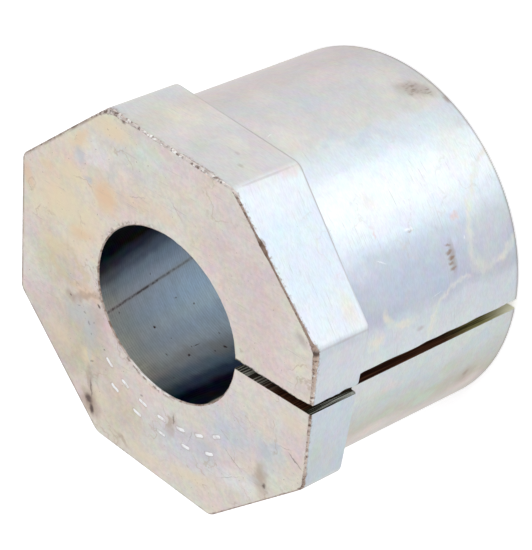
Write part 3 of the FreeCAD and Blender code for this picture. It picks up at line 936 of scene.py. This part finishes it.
# Each row of dashes is (how much further out, how many, start and sweep in degrees) round the bore
ROWS = ((0.0, 7, -129, 72), (1.9, 5, -120, 54))
rows = add("GeometryNodeJoinGeometry", tree=worn)
half_dash = times(given["Dash Length"], 0.5)
dash_start = step("ShaderNodeCombineXYZ", {"Z": times(half_dash, -1.0)})
dash_end = step("ShaderNodeCombineXYZ", {"Z": half_dash})
dash = step("GeometryNodeCurvePrimitiveLine", {"Start": dash_start, "End": dash_end})
for further, dashes, start, sweep in ROWS:
    arc_feeds = {
        "Resolution": 64,
        "Radius": figure("ADD", given["Dash Row Reach"], further * MM),
        "Start Angle": math.radians(start),
        "Sweep Angle": math.radians(sweep),
    }
    arc = step("GeometryNodeCurveArc", arc_feeds)
    row = add("GeometryNodeCurveToPoints", {"Curve": arc, "Count": dashes}, mode="COUNT").outputs
    strikes = {"Points": row["Points"], "Instance": dash, "Rotation": row["Rotation"]}
    worn.links.new(step("GeometryNodeInstanceOnPoints", strikes), rows.inputs[0])
lines = step("GeometryNodeRealizeInstances", {0: rows.outputs[0]})
laid_feeds = {
    "Geometry": lines,
    "Translation": tuple(bore_on_face),
    "Rotation": tuple(Vector((0, 0, 1)).rotation_difference(Vector(face_normal)).to_euler()),
}
laid = step("GeometryNodeTransform", laid_feeds)
wires = step("GeometryNodeCurveToMesh", {0: laid})
near = add("GeometryNodeProximity", {0: wires}, target_element="EDGES").outputs["Distance"]
half_width = times(given["Dash Width"], 0.5)
strike = ramp(near, times(half_width, 0.5), times(half_width, 1.6), 1.0, 0.0)
body = push(body, times(strike, given["Dash Depth"]))
stored = {"Geometry": body, "Name": "stamped", "Value": strike}
body = step("GeometryNodeStoreNamedAttribute", stored, data_type="FLOAT", domain="POINT")

body = step("GeometryNodeRealizeInstances", {0: body})
zone_number = step("GeometryNodeInputNamedAttribute", {"Name": "zone"}, data_type="INT")
finishes = (bore_finish, face_finish, side_finish, worn_finish, mouth_finish, sawn_finish)
for zone, material in zip((BORE, FACE, SIDE, EDGE, MOUTH, SAWN), finishes):
    same = {2: zone_number, 3: zone}
    here = step("FunctionNodeCompare", same, data_type="INT", operation="EQUAL")
    dressed = {"Geometry": body, "Selection": here, "Material": material}
    body = step("GeometryNodeSetMaterial", dressed)
add("NodeGroupOutput", {0: body})

wearing = bushing.modifiers.new("worn_and_stamped", "NODES")
wearing.node_group = worn
for item in worn.interface.items_tree:
    if item.in_out == "INPUT" and item.name in WORN_SIZES:
        wearing[item.identifier] = WORN_SIZES[item.name]
finished = bpy.data.meshes.new_from_object(bushing.evaluated_get(bpy.context.evaluated_depsgraph_get()))
bushing.modifiers.remove(wearing)
bushing.data = finished
SHARP_ANGLE = math.radians(32)
finished.shade_smooth()
finished.set_sharp_from_angle(angle=SHARP_ANGLE)

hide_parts(NODE)
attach(bushing, "root")

# The white paper under the bushing. It glows a little to the camera and to glossy steel, as paper lit
# on its own does, and it takes the bushing's soft shadow.
FLOOR_REACH = 3.0
FLOOR_GLOW = 0.39
floor_mesh = bpy.data.meshes.new("floor")
floor_corners = [(x * FLOOR_REACH, y * FLOOR_REACH, 0) for x, y in ((-1, -1), (1, -1), (1, 1), (-1, 1))]
floor_mesh.from_pydata(floor_corners, [], [(0, 1, 2, 3)])
floor = bpy.data.objects.new("floor", floor_mesh)
bpy.context.collection.objects.link(floor)
paper = bpy.data.materials.new("floor_paper")
paper.use_nodes = True
floor_mesh.materials.append(paper)
tree = paper.node_tree
paper_shader = tree.nodes["Principled BSDF"]
paper_shader.inputs["Base Color"].default_value = (0.9, 0.9, 0.9, 1)
paper_shader.inputs["Roughness"].default_value = 0.9
paper_shader.inputs["Emission Color"].default_value = (1, 1, 1, 1)
path = add("ShaderNodeLightPath", tree=tree).outputs
seen = figure("MAXIMUM", path["Is Camera Ray"], path["Is Glossy Ray"])
seen = figure("MAXIMUM", seen, path["Is Transmission Ray"])
tree.links.new(times(seen, FLOOR_GLOW), paper_shader.inputs["Emission Strength"])

# The soft white light of the studio, with one larger lamp, one for the pool of light on the barrel and
# a small bluish one that reaches into the bore.
world = bpy.data.worlds.new("studio")
bpy.context.scene.world = world
world.use_nodes = True
backdrop = world.node_tree.nodes["Background"].inputs
backdrop["Color"].default_value = (0.97, 0.98, 1.0, 1)
backdrop["Strength"].default_value = 0.88


def lamp(name, azimuth, elevation, distance, size, strength, aim=(0, 0, 15), spread=180, colour=(1, 1, 1)):
    """A square lamp on a side of the bushing, turned to a place on it that is given in millimetres."""
    light = bpy.data.lights.new(name, "AREA")
    light.color = colour
    light.size = size
    light.energy = strength * math.pi * size**2
    light.spread = math.radians(spread)
    lamp_object = bpy.data.objects.new(name, light)
    bpy.context.collection.objects.link(lamp_object)
    a, e = math.radians(azimuth), math.radians(elevation)
    way = Vector((math.cos(a) * math.cos(e), math.sin(a) * math.cos(e), math.sin(e)))
    lamp_object.location = way * distance + Vector(aim) * MM
    lamp_object.rotation_euler = way.to_track_quat("Z", "Y").to_euler()


lamp("key_box", 50, 40, 0.6, 0.3, 0.6)
lamp("pool_box", 62, 62, 0.5, 0.06, 1.1, aim=(42, 76, 0), spread=16)
lamp("bore_box", 42, 46, 0.5, 0.006, 0.58, aim=(-5.9, -3.35, 18.45), spread=1.5, colour=(0.8, 0.92, 1.0))

# The camera of the photograph, found from the outline of the bushing. Its picture is 532 by 550 pixels
# and its optical centre is nearly in the middle.
VIEW_PLACE = Vector((154.94, 137.96, 191.77)) * MM
VIEW_WAY = Vector((-0.56836, -0.5085, -0.64684)).normalized()
PICTURE_DOWN = Vector((0.42036, -0.85527, 0.303))
FOCAL_PIXELS = 2737.4
PICTURE_WIDTH, PICTURE_HEIGHT = 532, 550
OPTICAL_CENTRE = (271.2, 275.5)
right = PICTURE_DOWN.cross(VIEW_WAY).normalized()
up = right.cross(VIEW_WAY)
camera_data = bpy.data.cameras.new("camera")
camera_data.sensor_width = 36
camera_data.lens = FOCAL_PIXELS * camera_data.sensor_width / PICTURE_HEIGHT
camera_data.shift_x = (PICTURE_WIDTH / 2 - OPTICAL_CENTRE[0]) / PICTURE_HEIGHT
camera_data.shift_y = (OPTICAL_CENTRE[1] - PICTURE_HEIGHT / 2) / PICTURE_HEIGHT
camera_data.clip_end = 10
camera = bpy.data.objects.new("camera", camera_data)
bpy.context.collection.objects.link(camera)
camera.matrix_world = Matrix.Translation(VIEW_PLACE) @ Matrix((right, up, -VIEW_WAY)).transposed().to_4x4()
bpy.context.scene.camera = camera
bpy.context.scene.view_settings.view_transform = "Standard"
